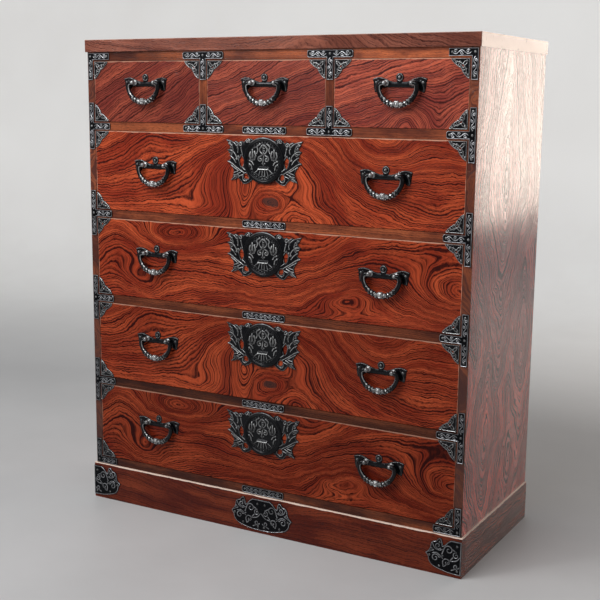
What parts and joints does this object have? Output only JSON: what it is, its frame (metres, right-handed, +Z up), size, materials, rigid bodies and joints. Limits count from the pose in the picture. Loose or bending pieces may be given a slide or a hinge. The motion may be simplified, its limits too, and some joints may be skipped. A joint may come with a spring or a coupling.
{
  "type": "chest of drawers",
  "caption": "Lacquered wooden clothing chest on a low base, with a row of small drawers over wide drawers, iron straps, corner plates and hanging bail handles.",
  "frame": {"origin": "on the floor, in the middle of the outline seen from above, handles included", "axes": "+X to the right, +Y to the back, +Z up; the drawers open towards -Y"},
  "size_m": [1.05, 0.4614, 1.2],
  "materials": {
    "red_lacquered_wood": "figured hardwood in glossy red lacquer",
    "frame_wood": "straight-grained wood in glossy lacquer",
    "plain_box_wood": "plain light wood",
    "plain_back_wood": "plain light wood",
    "black_iron": "black lacquered iron, raised ornament worn bright"
  },
  "bodies": {
    "chest": {"top_board": "red_lacquered_wood", "left_side_board": "red_lacquered_wood", "right_side_board": "red_lacquered_wood", "back_boards": "plain_back_wood", "bottom_board": "plain_back_wood", "dust_boards": "plain_back_wood", "top_rail": "frame_wood", "rail_1": "frame_wood", "rail_2": "frame_wood", "rail_3": "frame_wood", "rail_4": "frame_wood", "bottom_rail": "frame_wood", "left_divider": "frame_wood", "right_divider": "frame_wood", "base_front": "red_lacquered_wood", "base_sides": "red_lacquered_wood", "base_back": "plain_back_wood", "rail_plates": "black_iron", "side_tees": "black_iron", "corner_straps": "black_iron", "divider_tees": "black_iron", "base_corner_plates": "black_iron", "base_centre_plate": "black_iron", "frame_nails": "black_iron"},
    "small_drawer_left": {"small_drawer_left_front": "red_lacquered_wood", "small_drawer_left_box": "plain_box_wood", "small_drawer_left_fittings": "black_iron"},
    "small_drawer_left_bail": {"small_drawer_left_bail": "black_iron"},
    "small_drawer_middle": {"small_drawer_middle_front": "red_lacquered_wood", "small_drawer_middle_box": "plain_box_wood", "small_drawer_middle_fittings": "black_iron"},
    "small_drawer_middle_bail": {"small_drawer_middle_bail": "black_iron"},
    "small_drawer_right": {"small_drawer_right_front": "red_lacquered_wood", "small_drawer_right_box": "plain_box_wood", "small_drawer_right_fittings": "black_iron"},
    "small_drawer_right_bail": {"small_drawer_right_bail": "black_iron"},
    "large_drawer_1": {"large_drawer_1_front": "red_lacquered_wood", "large_drawer_1_box": "plain_box_wood", "large_drawer_1_fittings": "black_iron", "large_drawer_1_lock_plate": "black_iron"},
    "large_drawer_1_left_bail": {"large_drawer_1_left_bail": "black_iron"},
    "large_drawer_1_right_bail": {"large_drawer_1_right_bail": "black_iron"},
    "large_drawer_2": {"large_drawer_2_front": "red_lacquered_wood", "large_drawer_2_box": "plain_box_wood", "large_drawer_2_fittings": "black_iron", "large_drawer_2_lock_plate": "black_iron"},
    "large_drawer_2_left_bail": {"large_drawer_2_left_bail": "black_iron"},
    "large_drawer_2_right_bail": {"large_drawer_2_right_bail": "black_iron"},
    "large_drawer_3": {"large_drawer_3_front": "red_lacquered_wood", "large_drawer_3_box": "plain_box_wood", "large_drawer_3_fittings": "black_iron", "large_drawer_3_lock_plate": "black_iron"},
    "large_drawer_3_left_bail": {"large_drawer_3_left_bail": "black_iron"},
    "large_drawer_3_right_bail": {"large_drawer_3_right_bail": "black_iron"},
    "large_drawer_4": {"large_drawer_4_front": "red_lacquered_wood", "large_drawer_4_box": "plain_box_wood", "large_drawer_4_fittings": "black_iron", "large_drawer_4_lock_plate": "black_iron"},
    "large_drawer_4_left_bail": {"large_drawer_4_left_bail": "black_iron"},
    "large_drawer_4_right_bail": {"large_drawer_4_right_bail": "black_iron"}
  },
  "joints": [
    {"name": "small_drawer_left_slide", "type": "slide", "parent": "chest", "child": "small_drawer_left", "axis": [0, -1, 0], "range_m": [0, 0.32]},
    {"name": "small_drawer_left_bail_swing", "type": "hinge", "parent": "small_drawer_left", "child": "small_drawer_left_bail", "pos_m": [-0.34067, -0.22525, 1.095], "axis": [-1, 0, 0], "range_deg": [-5, 170]},
    {"name": "small_drawer_middle_slide", "type": "slide", "parent": "chest", "child": "small_drawer_middle", "axis": [0, -1, 0], "range_m": [0, 0.32]},
    {"name": "small_drawer_middle_bail_swing", "type": "hinge", "parent": "small_drawer_middle", "child": "small_drawer_middle_bail", "pos_m": [0, -0.22525, 1.095], "axis": [-1, 0, 0], "range_deg": [-5, 170]},
    {"name": "small_drawer_right_slide", "type": "slide", "parent": "chest", "child": "small_drawer_right", "axis": [0, -1, 0], "range_m": [0, 0.32]},
    {"name": "small_drawer_right_bail_swing", "type": "hinge", "parent": "small_drawer_right", "child": "small_drawer_right_bail", "pos_m": [0.34067, -0.22525, 1.095], "axis": [-1, 0, 0], "range_deg": [-5, 170]},
    {"name": "large_drawer_1_slide", "type": "slide", "parent": "chest", "child": "large_drawer_1", "axis": [0, -1, 0], "range_m": [0, 0.32]},
    {"name": "large_drawer_1_left_bail_swing", "type": "hinge", "parent": "large_drawer_1", "child": "large_drawer_1_left_bail", "pos_m": [-0.313, -0.22525, 0.8953], "axis": [-1, 0, 0], "range_deg": [-5, 170]},
    {"name": "large_drawer_1_right_bail_swing", "type": "hinge", "parent": "large_drawer_1", "child": "large_drawer_1_right_bail", "pos_m": [0.313, -0.22525, 0.8953], "axis": [-1, 0, 0], "range_deg": [-5, 170]},
    {"name": "large_drawer_2_slide", "type": "slide", "parent": "chest", "child": "large_drawer_2", "axis": [0, -1, 0], "range_m": [0, 0.32]},
    {"name": "large_drawer_2_left_bail_swing", "type": "hinge", "parent": "large_drawer_2", "child": "large_drawer_2_left_bail", "pos_m": [-0.313, -0.22525, 0.67505], "axis": [-1, 0, 0], "range_deg": [-5, 170]},
    {"name": "large_drawer_2_right_bail_swing", "type": "hinge", "parent": "large_drawer_2", "child": "large_drawer_2_right_bail", "pos_m": [0.313, -0.22525, 0.67505], "axis": [-1, 0, 0], "range_deg": [-5, 170]},
    {"name": "large_drawer_3_slide", "type": "slide", "parent": "chest", "child": "large_drawer_3", "axis": [0, -1, 0], "range_m": [0, 0.32]},
    {"name": "large_drawer_3_left_bail_swing", "type": "hinge", "parent": "large_drawer_3", "child": "large_drawer_3_left_bail", "pos_m": [-0.313, -0.22525, 0.4548], "axis": [-1, 0, 0], "range_deg": [-5, 170]},
    {"name": "large_drawer_3_right_bail_swing", "type": "hinge", "parent": "large_drawer_3", "child": "large_drawer_3_right_bail", "pos_m": [0.313, -0.22525, 0.4548], "axis": [-1, 0, 0], "range_deg": [-5, 170]},
    {"name": "large_drawer_4_slide", "type": "slide", "parent": "chest", "child": "large_drawer_4", "axis": [0, -1, 0], "range_m": [0, 0.32]},
    {"name": "large_drawer_4_left_bail_swing", "type": "hinge", "parent": "large_drawer_4", "child": "large_drawer_4_left_bail", "pos_m": [-0.313, -0.22525, 0.23455], "axis": [-1, 0, 0], "range_deg": [-5, 170]},
    {"name": "large_drawer_4_right_bail_swing", "type": "hinge", "parent": "large_drawer_4", "child": "large_drawer_4_right_bail", "pos_m": [0.313, -0.22525, 0.23455], "axis": [-1, 0, 0], "range_deg": [-5, 170]}
  ]
}
